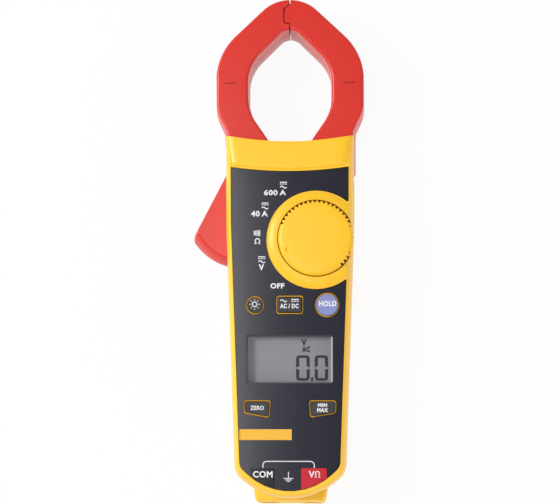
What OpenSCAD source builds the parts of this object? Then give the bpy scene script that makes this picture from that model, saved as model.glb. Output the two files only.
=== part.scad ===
// Clamp meter lying on its back: two hinged sensing jaws worked by one lever, a function
// dial, five keys and a display in a two-part case. Millimetres, +Z out of the front,
// +Y towards the jaws, origin on the back face.

/* [Case] */
// Half width of the case at its upper end
case_half_top = 29.4; // [29.2:0.1:29.8]
// Half width of the case beside the dial
case_half_mid = 29.1; // [28.9:0.1:29.3]
// Half width of the case near its lower corners
case_half_low = 25.1; // [24.9:0.1:25.4]
// Radius of the rounded lower end
case_bottom_r = 31.5; // [31:0.1:32]
// Height of the rim round the front panel
rim_z = 34.2; // [34:0.1:34.6]
// Height of the front panel's face
panel_z = 33.4; // [33.2:0.1:33.5]
// Height of the joint between the two case halves
split_z = 16; // [15.8:0.1:16.2]
// Wall thickness of the case
wall = 2.2; // [2:0.1:2.4]
// Lowest point of the curved upper edge
smile_y = 49.3; // [49:0.1:49.6]

/* [Jaws] */
// Thickness of the jaws
jaw_t = 22; // [21.6:0.1:22]
// Half width across both closed jaws
jaw_half = 33.8; // [33.5:0.1:34]
// Half width of the window the conductor passes
window_half = 18.7; // [18.5:0.1:19]
// Half distance between the jaw pins
pivot_x = 18; // [17.9:0.05:18.1]
// Height of the jaw pins up the case
pivot_y = 36; // [35.8:0.1:36.2]
// Radius of the jaw pins
pin_r = 2; // [1.8:0.1:2.2]
// Wall thickness of the jaw shells
jaw_wall = 1.7; // [1.5:0.1:1.9]
// Rounding along the jaw edges
jaw_fillet = 1.2; // [1:0.1:1.4]
// Gap between the closed jaw tips
tip_gap = 0.44; // [0.4:0.02:0.6]
// Draft of the outer side of the jaw roots, in degrees
root_draft = 7; // [6:0.5:7.5]

/* [Dial] */
// Sideways place of the dial
dial_x = 11.6; // [11.4:0.1:11.8]
// Place of the dial along the case
dial_y = 5.9; // [5.7:0.1:6.1]
// Radius of the dial knob
dial_r = 16.7; // [16.5:0.1:16.8]
// Grip notches in a full turn
dial_notches = 50; // [46:1:52]
// Height of the dial's face
dial_z = 38; // [37.6:0.1:38.4]

/* [Keys] */
// Height of the key tops
key_z = 34.5; // [34.3:0.1:34.8]
// Gap between a key and its collar
key_gap = 0.2; // [0.15:0.01:0.25]
// Width of the collars round the keys
collar = 0.55; // [0.45:0.05:0.6]

/* [Display] */
// Width of the display window
window_w = 38; // [37.6:0.1:38.4]
// Height of the display window
window_h = 21.4; // [21:0.1:21.8]
// Place of the window's middle along the case
window_y = -47.3; // [-47.5:0.1:-47.1]

/* [Jacks] */
// Half distance between the two jacks
jack_x = 9.5; // [9.4:0.05:9.6]
// Height of the jacks above the back
jack_z = 12.3; // [12:0.1:12.6]
// Bore of the jack sockets
socket_r = 2; // [1.95:0.01:2.05]

/* [Hidden] */
$fn = 64;
bottom_cy = -77.5;
corner_r = 9;
corner_cy = -93.4;
top_r = 5.5;
bend_r = 20;
smile_r = 146;
panel_rim = 3.15;
panel_low_r = 27.1;
panel_corner_r = 5;
panel_corner_cy = -91.9;
panel_top_y = 36;
panel_top_r = 180;
band_low = 36.85;
band_end = 58;
jaw_z0 = split_z - jaw_t / 2;
jaw_z1 = split_z + jaw_t / 2;
run_gap = 0.4;
floor_t = 2;
inner_z = 30.2;
seat_z = 32.2;
board_z = 25;
board_t = 1.6;
board_top = board_z + board_t;
well_r = dial_r + 0.4;
ring_y = dial_y - 0.5;
ring_r = 21.9;
tip_round = 0.7;
shaft_r = 4;
gear_r = pivot_x;
gear_pitch = 12;
lever_z = 7.5;
foot_z0 = 3;
foot_z1 = 21.5;
foot_top = -97;
foot_end = -112.2;
foot_slope = 1.9;
jack_in = -94;
cell_r = 5.2;
cell_z = 8.3;
cell_y = -59.25;
cell_step = 11.8;
screw_at = [[-6, 22], [20.5, 22], [-17.2, -90], [17.2, -90]];
board_screw_at = [[-19, 11], [20, -12], [-18.5, -80], [18.5, -80]];

// Points on an arc about c from angle a0 to a1
function arc(c, r, a0, a1, n) = [
    for (i = [0 : n - 1])
        let (a = a0 + (a1 - a0) * i / (n - 1))
        [c[0] + r * cos(a), c[1] + r * sin(a)]
];

// Direction of the outward normal of the belt's straight run from circle p to circle q
function run_angle(p, q) =
    let (dx = q[0] - p[0], dy = q[1] - p[1], d = sqrt(dx * dx + dy * dy))
    atan2(dy, dx) - 90 + asin((p[2] - q[2]) / d);

// End angle a, taken less than a full turn after start angle b
function after(a, b) = a < b ? after(a + 360, b) : a >= b + 360 ? after(a - 360, b) : a;

// Belt round circles [x, y, r], anticlockwise, n points on each
function belt(c, n) = [
    for (i = [0 : len(c) - 1])
        let (
            p = c[(i + len(c) - 1) % len(c)],
            q = c[(i + 1) % len(c)],
            a0 = run_angle(p, c[i]),
            a1 = after(run_angle(c[i], q), a0)
        )
        each arc(c[i], c[i][2], a0, a1, n)
];

function lift(pts, z) = [for (p = pts) [p[0], p[1], z]];
function inset(c, d) = [for (p = c) [p[0], p[1], p[2] - d]];
function unit(v) = v / norm(v);

// Solid through a row of closed loops with the same number of points
module skin(loops) {
    n = len(loops[0]);
    m = len(loops);
    sides = [
        for (j = [0 : m - 2], i = [0 : n - 1])
            let (a = j * n + i, b = j * n + (i + 1) % n)
            each [[a, a + n, b + n], [a, b + n, b]]
    ];
    low = [for (i = [0 : n - 1]) i];
    high = [for (i = [0 : n - 1]) m * n - 1 - i];
    polyhedron([for (l = loops) each l], concat([low], sides, [high]));
}

// Case outline at its widest, as a belt of circles
case_circles = [
    [0, bottom_cy, case_bottom_r],
    [case_half_low - corner_r, corner_cy, corner_r],
    [case_half_mid - bend_r, 14, bend_r],
    [case_half_top - top_r, 58, top_r],
    [top_r - case_half_top, 58, top_r],
    [bend_r - case_half_mid, 14, bend_r],
    [corner_r - case_half_low, corner_cy, corner_r]
];

// Jack foot under the lower end, d smaller all round and its end drawn in by back
function foot_circles(d, back) = inset([
    [14.9, foot_top - 2.4, 2.4], [-14.9, foot_top - 2.4, 2.4],
    [-13.6, foot_end + 2.4 + back, 2.4], [13.6, foot_end + 2.4 + back, 2.4]
], d);

module case_skin(levels) {
    skin([for (l = levels) lift(belt(inset(case_circles, l[1]), 10), l[0])]);
}

// Everything beyond the curved upper edge
module smile(y, r, z0, z1) {
    translate([0, y + r, z0])
        cylinder(h = z1 - z0, r = r, $fn = 160);
}

module box(x0, x1, y0, y1, z0, z1) {
    translate([x0, y0, z0])
        cube([x1 - x0, y1 - y0, z1 - z0]);
}

// Rectangle w by h with corners of radius r
function round_loop(w, h, r) = belt([
    [w / 2 - r, h / 2 - r, r],
    [-w / 2 + r, h / 2 - r, r],
    [-w / 2 + r, -h / 2 + r, r],
    [w / 2 - r, -h / 2 + r, r]
], 5);

module rounded(w, h, r) {
    polygon(round_loop(w, h, r));
}

// Slot for the jaw roots across the top, and for the lever on the left
module jaw_slot(z0, z1, grip_z0, grip_z1) {
    difference() {
        box(-45, 45, 32.5, 70, z0, z1);
        box(-7.5, 7.5, 46.8, 70, z0 - 1, z1 + 1);
    }
    box(-45, -20, -9, 36, grip_z0, grip_z1);
}

// Plan shapes of the five keys, g larger all round
module light_plan(g) {
    translate([-15.4, -23.6])
        circle(r = 3.3 + g);
}

module hold_plan(g) {
    translate([16.5, -23.5])
        circle(r = 4.7 + g);
}

module acdc_plan(g) {
    translate([0, -23.4])
        rounded(10.6 + 2 * g, 6.7 + 2 * g, 0.6 + g);
}

module zero_plan(g) {
    polygon(belt([
        [-9.7, -66.6, 0.6 + g],
        [-19.1, -66.6, 0.6 + g],
        [-19, -69.9, 0.6 + g],
        [-10, -71.5, 0.6 + g]
    ], 5));
}

module minmax_plan(g) {
    mirror([1, 0])
        zero_plan(g);
}

module key_plans(g) {
    light_plan(g);
    hold_plan(g);
    acdc_plan(g);
    zero_plan(g);
    minmax_plan(g);
}

// Front panel outline as a belt of circles
panel_circles = [
    [0, bottom_cy, panel_low_r],
    [case_half_low - panel_rim - panel_corner_r, panel_corner_cy, panel_corner_r],
    [case_half_mid - bend_r, 14, bend_r - panel_rim],
    [case_half_top - top_r, 58, top_r - panel_rim],
    [top_r - case_half_top, 58, top_r - panel_rim],
    [bend_r - case_half_mid, 14, bend_r - panel_rim],
    [panel_corner_r + panel_rim - case_half_low, panel_corner_cy, panel_corner_r]
];

// Front panel, g smaller all round, with the bite for the dial ring
module panel_plan(g) {
    difference() {
        polygon(belt(inset(panel_circles, g), 10));
        translate([0, panel_top_y + panel_top_r - g])
            circle(r = panel_top_r, $fn = 200);
        translate([dial_x, ring_y])
            circle(r = ring_r + 0.05 + g);
        tip_cut(1, 26.05, g);
        tip_cut(-1, 25.1, g);
    }
}

// Rounding of the panel's tip between the dial ring and the rim at x, above or below
module tip_cut(s, x, g) {
    r = tip_round;
    ring = [dial_x, ring_y];
    at_x = x - r - g;
    rise = sqrt(pow(ring_r + r + g, 2) - pow(at_x - dial_x, 2));
    at = [at_x, ring_y + s * rise];
    touch = ring + (ring_r + g) * unit(at - ring);
    difference() {
        polygon([at, [x + 1, at[1]], [x + 1, ring_y + s * (rise - 4)], touch]);
        translate(at)
            circle(r = r);
    }
}

// Raised collar of the case round the dial
module dial_ring() {
    intersection() {
        translate([dial_x, ring_y, 0])
            rotate_extrude($fn = 96)
                polygon([
                    [16, inner_z + 0.6],
                    [ring_r, inner_z + 0.6],
                    [ring_r, panel_z + 0.1],
                    [20.8, 34.8],
                    [19, 35.5],
                    [17.8, 35.7],
                    [16, 35.7]
                ]);
        case_skin([[inner_z, 1.3], [31.8, 1.65], [33.2, 2.12], [34.2, 2.45], [35, 2.95], [36, 3.7]]);
    }
}

// Outline of the swollen band above the panel: its lower edge raised by d, half as wide
// as low at its lower corners and as high at its upper end
function band_loop(d, low, high) =
    let (
        c = [0, band_low + panel_top_r],
        r = panel_top_r - d,
        round = 1.4,
        a = asin((low - round) / (r - round)),
        at = (r - round) * [sin(a), -cos(a)]
    )
    concat(
        arc(c, r, 270 - a, 270 + a, 13),
        arc(c + at, round, 270 + a + 12, 352, 5),
        [[high, band_end], [-high, band_end]],
        arc(c + [-at[0], at[1]], round, 188, 270 - a - 12, 5)
    );

module band() {
    skin([
        for (l = [
            [25, 0, 27.4, 29.4], [29, 0, 27.3, 29.6], [31.4, 0, 27.1, 29.5], [32.8, 0, 26.8, 29.2],
            [33.7, 0.05, 26.3, 28.7], [34.3, 0.15, 25.6, 28], [34.7, 0.45, 24.8, 27.2],
            [35, 1.1, 23.6, 26], [35.1, 2, 22.4, 24.8]
        ])
            lift(band_loop(l[1], l[2], l[3]), l[0])
    ]);
}

module front_boss(at, r, z0, hole) {
    translate([at[0], at[1], z0])
        difference() {
            cylinder(h = inner_z + 0.6 - z0, r = r);
            translate([0, 0, -1])
                cylinder(h = inner_z - z0, r = hole);
        }
}

module front_case() {
    color([0.98, 0.78, 0.18])
    difference() {
        union() {
            difference() {
                union() {
                    case_skin([
                        [split_z, 0], [25, 0.3], [29, 0.8], [31.4, 1.35], [33, 1.95],
                        [33.8, 2.35], [rim_z, 2.8]
                    ]);
                    band();
                }
                difference() {
                    case_skin([
                        [split_z - 1, wall], [26, wall + 0.5], [29, wall + 1.2], [inner_z, wall + 2]
                    ]);
                    box(-40, 40, 46.8, 70, 0, 50);
                }
                jaw_slot(split_z - 1, jaw_z1 + run_gap, split_z - 1, split_z + lever_z + 0.5);
                smile(smile_y, smile_r, 0, 50);
                translate([0, 0, seat_z])
                    linear_extrude(height = 5)
                        panel_plan(-0.15);
                box(-17.7, 17.7, -120, foot_top + 0.4, 0, foot_z1 + 0.3);
            }
            dial_ring();
            translate([0, 0, seat_z - 0.5])
                linear_extrude(height = panel_z - 0.35 - seat_z + 0.5)
                    key_plans(key_gap + collar);
            for (p = screw_at)
                front_boss(p, 3, split_z + 0.1, 1.5);
            for (p = board_screw_at)
                front_boss(p, 2.2, board_top + 0.05, 1.05);
            for (s = [-1, 1])
                front_boss([s * pivot_x, pivot_y], 4, jaw_z1 + run_gap, pin_r + 0.02);
        }
        translate([dial_x, dial_y, seat_z])
            cylinder(h = 10, r = well_r, $fn = 96);
        translate([dial_x, dial_y, inner_z - 1])
            cylinder(h = 6, r = shaft_r + 0.06);
        translate([0, 0, inner_z - 1])
            linear_extrude(height = 6)
                key_plans(key_gap);
        translate([0, window_y, inner_z - 1])
            linear_extrude(height = 6)
                rounded(window_w + 0.1, window_h + 0.1, 1.25);
    }
}

module rear_case() {
    color([0.96, 0.75, 0.18])
    difference() {
        union() {
            difference() {
                case_skin([
                    [0, 4.8], [0.5, 3.4], [1.7, 2.2], [4, 1.2], [8, 0.45], [split_z, 0]
                ]);
                difference() {
                    case_skin([
                        [floor_t, wall + 2.6], [4.4, wall + 1.2], [8, wall + 0.5], [split_z + 1, wall]
                    ]);
                    box(-40, 40, 46.8, 70, -1, 50);
                }
                jaw_slot(jaw_z0 - run_gap, split_z + 1, split_z - lever_z - 0.5, split_z + 1);
                smile(smile_y, smile_r, -1, 50);
            }
            skin([
                for (l = [
                    [foot_z0, 1.6, 0], [foot_z0 + 0.5, 0.9, 0], [foot_z0 + 1.6, 0.3, 0], [8, 0, 0],
                    [split_z, 0, foot_slope * 0.55], [foot_z1 - 1.6, 0.2, foot_slope],
                    [foot_z1 - 0.5, 0.8, foot_slope], [foot_z1, 1.6, foot_slope]
                ])
                    lift(belt(foot_circles(l[1], l[2]), 7), l[0])
            ]);
            for (p = screw_at)
                translate([p[0], p[1], 1])
                    cylinder(h = split_z - 1, r = 3.5);
            for (s = [-1, 1])
                translate([s * pivot_x, pivot_y, 1])
                    cylinder(h = jaw_z0 - run_gap - 1, r = 3.2);
            box(-21.5, 21.5, -32.4, -25.4, 1, 4.4);
            translate([0, -29, 1])
                cylinder(h = 9, r = 3);
        }
        for (p = screw_at) {
            translate([p[0], p[1], -1])
                cylinder(h = 5, r = 2.9);
            translate([p[0], p[1], 3])
                cylinder(h = 20, r = 1.7);
        }
        for (s = [-1, 1]) {
            translate([s * pivot_x, pivot_y, 1.2])
                cylinder(h = 10, r = pin_r + 0.02);
            translate([s * jack_x, -90, jack_z])
                rotate([90, 0, 0])
                    cylinder(h = 30, r = 4.75);
        }
        translate([0, -55.5, -1])
            linear_extrude(height = floor_t + 1)
                rounded(37, 60, 2.5);
        translate([0, -29, -1])
            cylinder(h = 10, r = 1.3);
    }
}

module front_panel() {
    color([0.27, 0.27, 0.31])
    translate([0, 0, seat_z])
        linear_extrude(height = panel_z - seat_z)
            difference() {
                panel_plan(0);
                key_plans(key_gap + collar + 0.1);
                translate([0, window_y])
                    rounded(window_w, window_h, 1.2);
            }
}

module display_lens() {
    color([0.8, 0.82, 0.84, 0.4])
    translate([0, window_y, seat_z])
        linear_extrude(height = 0.9)
            rounded(window_w - 0.2, window_h - 0.2, 1.1);
}

module display_bezel() {
    color([0.6, 0.6, 0.62])
    translate([0, window_y, inner_z - 0.1])
        difference() {
            linear_extrude(height = 2.08)
                rounded(window_w - 0.1, window_h - 0.1, 1.15);
            skin([
                for (l = [[-0.5, -2.4], [2.5, -0.48]])
                    lift(round_loop(window_w + l[1], window_h + l[1], 0.8), l[0])
            ]);
        }
}

module lcd_glass() {
    color([0.56, 0.57, 0.57])
    box(-20.5, 20.5, window_y - 12.9, window_y + 12.9, board_top + 1.8, board_top + 3.4);
}

module backlight_plate() {
    color([0.9, 0.9, 0.86])
    box(-18.5, 18.5, window_y - 10, window_y + 10, board_top + 0.1, board_top + 1.7);
}

module zebra_strips() {
    color([0.75, 0.5, 0.55])
    for (s = [-1, 1])
        translate([0, window_y + s * 11.5, board_top + 0.9])
            cube([38, 1.8, 1.76], center = true);
}

module circuit_board() {
    color([0.1, 0.35, 0.2])
    difference() {
        translate([0, -34, board_z])
            linear_extrude(height = board_t)
                rounded(43, 100, 1.5);
        for (p = board_screw_at)
            translate([p[0], p[1], board_z - 1])
                cylinder(h = 4, r = 1.1);
        translate([dial_x, dial_y, board_z - 1])
            cylinder(h = 4, r = 2.6);
    }
}

module board_screws() {
    color([0.72, 0.72, 0.74])
    for (p = board_screw_at)
        translate([p[0], p[1], board_z])
            difference() {
                union() {
                    translate([0, 0, -1.2])
                        cylinder(h = 1.2, r = 2);
                    cylinder(h = 4, r = 1);
                }
                translate([-1.4, -0.2, -2])
                    cube([2.8, 0.4, 1.3]);
                translate([-0.2, -1.4, -2])
                    cube([0.4, 2.8, 1.3]);
            }
}

module main_chip() {
    color([0.1, 0.1, 0.11])
    box(-8, 6, -66, -52, board_z - 1.7, board_z - 0.05);
}

module buzzer() {
    color([0.12, 0.12, 0.13])
    translate([12, -14, board_z - 5.05])
        difference() {
            cylinder(h = 5, r = 6);
            translate([0, 0, -1])
                cylinder(h = 2, r = 1.2);
        }
}

module upper_keypad() {
    color([0.55, 0.55, 0.58])
    box(-20.5, 21.2, -29.6, -17.4, board_top + 0.02, board_top + 0.5);
}

module lower_keypad() {
    color([0.55, 0.55, 0.58])
    box(-20.8, 20.8, -74.6, -63.6, board_top + 0.02, board_top + 0.5);
}

module insulator(s) {
    translate([s * jack_x, jack_in, jack_z])
        rotate([90, 0, 0])
            difference() {
                cylinder(h = jack_in - foot_end - 1.6, r = 4.7);
                translate([0, 0, 2])
                    cylinder(h = 40, r = 3.6);
                translate([0, 0, -1])
                    cylinder(h = 40, r = 2.95);
            }
}

module com_insulator() {
    color([0.08, 0.08, 0.09])
    insulator(-1);
}

module volt_insulator() {
    color([0.7, 0.1, 0.12])
    insulator(1);
}

module socket(s) {
    translate([s * jack_x, jack_in + 2, jack_z])
        rotate([90, 0, 0])
            difference() {
                cylinder(h = 17, r = 2.9);
                translate([0, 0, 2])
                    cylinder(h = 30, r = socket_r);
            }
}

module com_socket() {
    color([0.8, 0.68, 0.35])
    socket(-1);
}

module volt_socket() {
    color([0.8, 0.68, 0.35])
    socket(1);
}

module battery_tray() {
    color([0.14, 0.14, 0.15])
    difference() {
        box(-20.2, 20.2, -85.7, -32.8, floor_t + 0.05, 15.2);
        box(-18.8, 18.8, -84.6, -33.9, 0, 14);
    }
}

module battery_cells() {
    color([0.55, 0.57, 0.6])
    for (i = [-1 : 1])
        translate([i * cell_step, cell_y, cell_z])
            rotate([i == 0 ? 90 : -90, 0, 0]) {
                translate([0, 0, -22])
                    cylinder(h = 43, r = cell_r);
                translate([0, 0, 20])
                    cylinder(h = 2.2, r = 1.9);
            }
}

// Coil spring along +Z, with a straight leg of the given length at each end
module coil(r, wire, turns, h, leg) {
    steps = 11;
    sides = 6;
    count = turns * steps;
    skin([
        for (k = [-1 : count + 1])
            let (
                turn = min(max(k, 0), count),
                a = 360 * turn / steps,
                off = k < 0 ? -leg : k > count ? leg : 0
            )
            [
                for (j = [0 : sides - 1])
                    let (b = -360 * j / sides, q = r + wire * cos(b))
                    [
                        q * cos(a) - off * sin(a),
                        q * sin(a) + off * cos(a),
                        h * turn / count + wire * sin(b)
                    ]
            ]
    ]);
}

module battery_springs() {
    color([0.78, 0.78, 0.8])
    for (i = [-1 : 1]) {
        s = i == 0 ? 1 : -1;
        translate([i * cell_step, cell_y + s * 25.1, cell_z])
            rotate([90, 0, 0])
                translate([-4, -4, -0.15])
                    cube([8, 8, 0.3]);
        translate([i * cell_step, cell_y + s * 24.6, cell_z])
            rotate([s * 90, 0, 0])
                coil(2.6, 0.35, 3, 2, 0.6);
    }
}

module battery_plates() {
    color([0.78, 0.78, 0.8])
    for (i = [-1 : 1]) {
        s = i == 0 ? -1 : 1;
        translate([i * cell_step, cell_y + s * 23.4, cell_z])
            difference() {
                cube([8, 1.8, 8], center = true);
                translate([0, s * 0.4, 0])
                    cube([7, 1.8, 9], center = true);
            }
    }
}

module battery_door() {
    color([0.95, 0.74, 0.18])
    difference() {
        union() {
            translate([0, -55.5, 0.15])
                linear_extrude(height = floor_t - 0.2)
                    rounded(36.4, 59.4, 2.2);
            for (i = [-1, 1])
                box(i * 10 - 3, i * 10 + 3, -84.4, -82.6, floor_t - 0.1, floor_t + 1.8);
        }
        translate([0, -29, -1])
            cylinder(h = 2.2, r = 2.9);
        translate([0, -29, -1])
            cylinder(h = 5, r = 1.5);
        for (i = [0 : 5])
            box(-9, 9, -81 + i * 2, -80 + i * 2, -1, 0.6);
    }
}

module screw(r_head, h_head, r, length) {
    difference() {
        union() {
            cylinder(h = h_head, r = r_head);
            cylinder(h = length, r = r);
        }
        for (a = [0, 90])
            rotate(a)
                translate([-r_head * 0.62, -r_head * 0.13, -1])
                    cube([r_head * 1.24, r_head * 0.26, 1 + h_head * 0.6]);
    }
}

module door_screw() {
    color([0.7, 0.7, 0.72])
    translate([0, -29, 0.3])
        screw(2.7, 0.85, 1.2, 8);
}

module case_screws() {
    color([0.7, 0.7, 0.72])
    for (p = screw_at)
        translate([p[0], p[1], 2])
            screw(2.6, 1.9, 1.45, 20);
}

module jaw_pins() {
    color([0.75, 0.75, 0.77])
    for (s = [-1, 1])
        translate([s * pivot_x, pivot_y, 1.3])
            cylinder(h = inner_z - 2.6, r = pin_r);
}

module jaw_spring() {
    color([0.7, 0.7, 0.72])
    translate([-pivot_x, pivot_y, floor_t + 0.5])
        coil(4.3, 0.38, 2, 1.7, 9);
}

// Outer and inner edges of the left jaw from tip to root, starting g left of the middle
tip_c = [0, 98.1];
tip_r = 18.2;
tip_in_c = [0, 95.8];
tip_in_r = 5.9;
root_y = 49.4;
function jaw_outer(g) = concat(
    arc(tip_c, tip_r, 90 + asin(g / tip_r), 135, 8),
    arc([28.3 - jaw_half, 78.9], 28.3, 135, 180, 11),
    arc([14.3 - jaw_half, 66.8], 14.3, 180, 208, 7),
    [[-30, 55.4], [-29.6, root_y]]
);
function jaw_inner(g) = concat(
    arc(tip_in_c, tip_in_r, min(90 + asin(g / tip_in_r), 130), 135, 8),
    arc([18.7 - window_half, 77.7], 18.7, 135, 180, 11),
    arc([21.7 - window_half, 71.5], 21.7, 180, 217, 7),
    [[-11, 53.6], [-8.2, root_y]]
);
stations = len(jaw_outer(1));

// Draft of the outer wall at station i, growing towards the root
function outer_draft(i) = 0.3 + max(0, min(1.1, (i - 17) * 0.14));

// Upper half of the jaw's section between edge points o and q
function jaw_section(o, q, w, z1, f, d) =
    let (u = unit(o - q), a = o - u * w, b = q + u * w, n = 5)
    concat(
        [[a[0], a[1], split_z], [b[0], b[1], split_z]],
        [
            for (k = [0 : n - 1])
                let (t = 90 * k / (n - 1), p = b + u * (0.3 + f * (1 - cos(t))))
                [p[0], p[1], z1 - f + f * sin(t)]
        ],
        [
            for (k = [n - 1 : -1 : 0])
                let (t = 90 * k / (n - 1), p = a - u * (d + f * (1 - cos(t))))
                [p[0], p[1], z1 - f + f * sin(t)]
        ]
    );

module jaw_sweep(g, w, z1, f, last) {
    o = jaw_outer(g);
    q = jaw_inner(g);
    skin([
        for (i = [0 : stations - 1 - last])
            jaw_section(o[i], q[i], w, z1, f, outer_draft(i))
    ]);
}

// Involute flank: half angle of a tooth at radius r
base_r = gear_r * cos(20);
function inv(a) = tan(a) * 180 / PI - a;
function half_tooth(r) = 2.78 + inv(20) - inv(acos(min(1, base_r / r)));

module tooth(a) {
    top = gear_r + 1.1;
    radii = [base_r, gear_r - 0.5, gear_r, gear_r + 0.6, top];
    left = [for (r = radii) [r * cos(a + half_tooth(r)), r * sin(a + half_tooth(r))]];
    right = [
        for (i = [4 : -1 : 0])
            let (r = radii[i])
            [r * cos(a - half_tooth(r)), r * sin(a - half_tooth(r))]
    ];
    foot = gear_r - 2.2;
    low = half_tooth(base_r);
    polygon(concat(
        [[foot * cos(a - low), foot * sin(a - low)], [foot * cos(a + low), foot * sin(a + low)]],
        left,
        right
    ));
}

// Jaw root: the block in the case's mouth, the hub and the toothed sector
module jaw_root_plan(side_x, teeth) {
    polygon([
        [-side_x, 51.4], [-27.5, 49.9], [-9.2, 49.9], [-8.2, 48.4], [-8.2, 44.5],
        [-12, 38], [-18, 29.6], [-25.4, 34.8], [-side_x, 37]
    ]);
    translate([-pivot_x, pivot_y]) {
        circle(r = 7);
        intersection() {
            circle(r = gear_r - 1.6);
            polygon([
                [0, 0], [30 * cos(min(teeth) - 4), 30 * sin(min(teeth) - 4)],
                [30, 0], [30 * cos(max(teeth) + 4), 30 * sin(max(teeth) + 4)]
            ]);
        }
        for (a = teeth)
            tooth(a);
    }
}

// Outline of the finger lever: hub round the pin, straight upper edge k out along its
// normal, rounded end of radius r and a curved lower edge of radius low_r
lever_c = [-21.6, 20.6];
lever_a = 152.6;
function along(p, a) = p[0] * cos(a) + p[1] * sin(a);
function lever_loop(k, r, low_r) =
    let (
        pin = [-pivot_x, pivot_y],
        turn = lever_a + acos((k - r - along(lever_c, lever_a)) / (low_r - r)),
        end = lever_c + (low_r - r) * [cos(turn), sin(turn)]
    )
    concat(
        arc(pin, k - along(pin, lever_a), -22, lever_a, 16),
        arc(end, r, lever_a, turn, 8),
        arc(lever_c, low_r, turn + 2, 256, 14)
    );

// Finger lever below the left jaw, upper half
module lever_half() {
    skin([
        lift(lever_loop(42.7, 3.4, 26.6), split_z),
        lift(lever_loop(42.6, 3.2, 25.9), split_z + 3),
        lift(lever_loop(42.4, 2.8, 24.6), split_z + 5.4),
        lift(lever_loop(42.2, 2.4, 23.8), split_z + 6.6),
        lift(lever_loop(41.9, 2.1, 23.3), split_z + 7.2),
        lift(lever_loop(41.4, 1.8, 22.6), split_z + lever_z)
    ]);
}

// Tongue on the plain jaw's tip that locks into the other tip, g larger all round
module tongue_plan(g) {
    polygon(belt([
        [5, 106, 0.8 + g], [5, 113.2, 0.8 + g], [0.4, 113.2, 0.8 + g],
        [-1.6, 111.2, 0.8 + g], [-1.8, 106, 0.8 + g]
    ], 5));
}

module jaw_half_shell(side_x, teeth) {
    difference() {
        union() {
            jaw_sweep(tip_gap / 2, 0, jaw_z1, jaw_fillet, 0);
            difference() {
                translate([0, 0, split_z])
                    linear_extrude(height = jaw_t / 2)
                        jaw_root_plan(side_x, teeth);
                translate([-side_x, 0, split_z])
                    rotate([0, root_draft, 0])
                        box(-10, 0, 30, 60, -5, 20);
            }
            children();
        }
        translate([0, 0, -0.05])
            jaw_sweep(4.6, jaw_wall, jaw_z1 - jaw_wall, 0.6, 1);
        translate([-pivot_x, pivot_y, split_z - 1])
            cylinder(h = 20, r = pin_r + 0.05);
    }
}

module trigger_shell() {
    difference() {
        jaw_half_shell(29.1, [0, -gear_pitch, -2 * gear_pitch])
            lever_half();
        translate([0, 0, split_z - 1])
            linear_extrude(height = 20)
                tongue_plan(0.35);
    }
}

module plain_shell() {
    union() {
        mirror([1, 0, 0])
            jaw_half_shell(29.8, [gear_pitch / 2, -gear_pitch / 2, -1.5 * gear_pitch]);
        intersection() {
            translate([0, 0, split_z])
                linear_extrude(height = jaw_t / 2 - 0.4)
                    tongue_plan(0);
            box(-5, 2, 100, 118, 0, 60);
        }
    }
}

module rear_half() {
    translate([0, 0, 2 * split_z])
        mirror([0, 0, 1])
            children();
}

// Short engraved line that shows where the conductor should lie
module centre_mark(s) {
    translate([s * 26.9, 77.4, jaw_z1])
        cube([5.2, 0.5, 0.6], center = true);
}

module trigger_jaw_front() {
    color([0.85, 0.22, 0.18])
    difference() {
        trigger_shell();
        centre_mark(-1);
    }
}

module trigger_jaw_rear() {
    color([0.82, 0.2, 0.17])
    rear_half()
        trigger_shell();
}

module plain_jaw_front() {
    color([0.85, 0.22, 0.18])
    difference() {
        plain_shell();
        centre_mark(1);
    }
}

module plain_jaw_rear() {
    color([0.82, 0.2, 0.17])
    rear_half()
        plain_shell();
}

// Bar along the middle of the jaw from station i0 to i1
module core_bar(i0, i1, half_w, half_t) {
    o = jaw_outer(5.2);
    q = jaw_inner(5.2);
    skin([
        for (i = [i0 : i1])
            let (
                u = unit(o[i] - q[i]),
                m = (o[i] + q[i]) / 2,
                a = m + half_w * u,
                b = m - half_w * u
            )
            [
                [a[0], a[1], split_z - half_t], [b[0], b[1], split_z - half_t],
                [b[0], b[1], split_z + half_t], [a[0], a[1], split_z + half_t]
            ]
    ]);
}

// Laminated core bent round the window
module core() {
    core_bar(0, stations - 5, 2.8, 4.5);
}

module winding() {
    translate([-26, 71, split_z])
        difference() {
            cube([10, 12, 14], center = true);
            cube([6.5, 14, 9.6], center = true);
        }
}

module trigger_jaw_core() {
    color([0.5, 0.5, 0.52])
    core();
}

module trigger_jaw_coil() {
    color([0.72, 0.4, 0.18])
    winding();
}

module plain_jaw_core() {
    color([0.5, 0.5, 0.52])
    mirror([1, 0, 0])
        core();
}

module plain_jaw_coil() {
    color([0.72, 0.4, 0.18])
    mirror([1, 0, 0])
        winding();
}

module hall_sensor() {
    color([0.1, 0.1, 0.11])
    mirror([1, 0, 0])
        core_bar(stations - 4, stations - 3, 2, 2.5);
}

module dial_knob() {
    color([0.99, 0.82, 0.3])
    translate([dial_x, dial_y, 0])
        difference() {
            union() {
                rotate_extrude($fn = 96)
                    polygon([
                        [0, seat_z + 0.4], [15.9, seat_z + 0.4], [dial_r, seat_z + 1.2],
                        [dial_r, dial_z - 1.6], [dial_r - 0.5, dial_z - 0.8],
                        [dial_r - 1.3, dial_z - 0.3], [12, dial_z - 0.05], [0, dial_z]
                    ]);
                translate([0, 0, inner_z - 0.8])
                    cylinder(h = 4, r = shaft_r);
            }
            for (i = [-7 : 21])
                rotate(i * 360 / dial_notches + 5)
                    translate([dial_r, 0, seat_z])
                        linear_extrude(height = 8)
                            polygon([[1, -1.25], [1, 1.25], [-1.2, 0.12], [-1.2, -0.12]]);
            rotate(202.5)
                translate([13.7, 0, dial_z + 0.5])
                    sphere(r = 1.25);
        }
}

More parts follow.
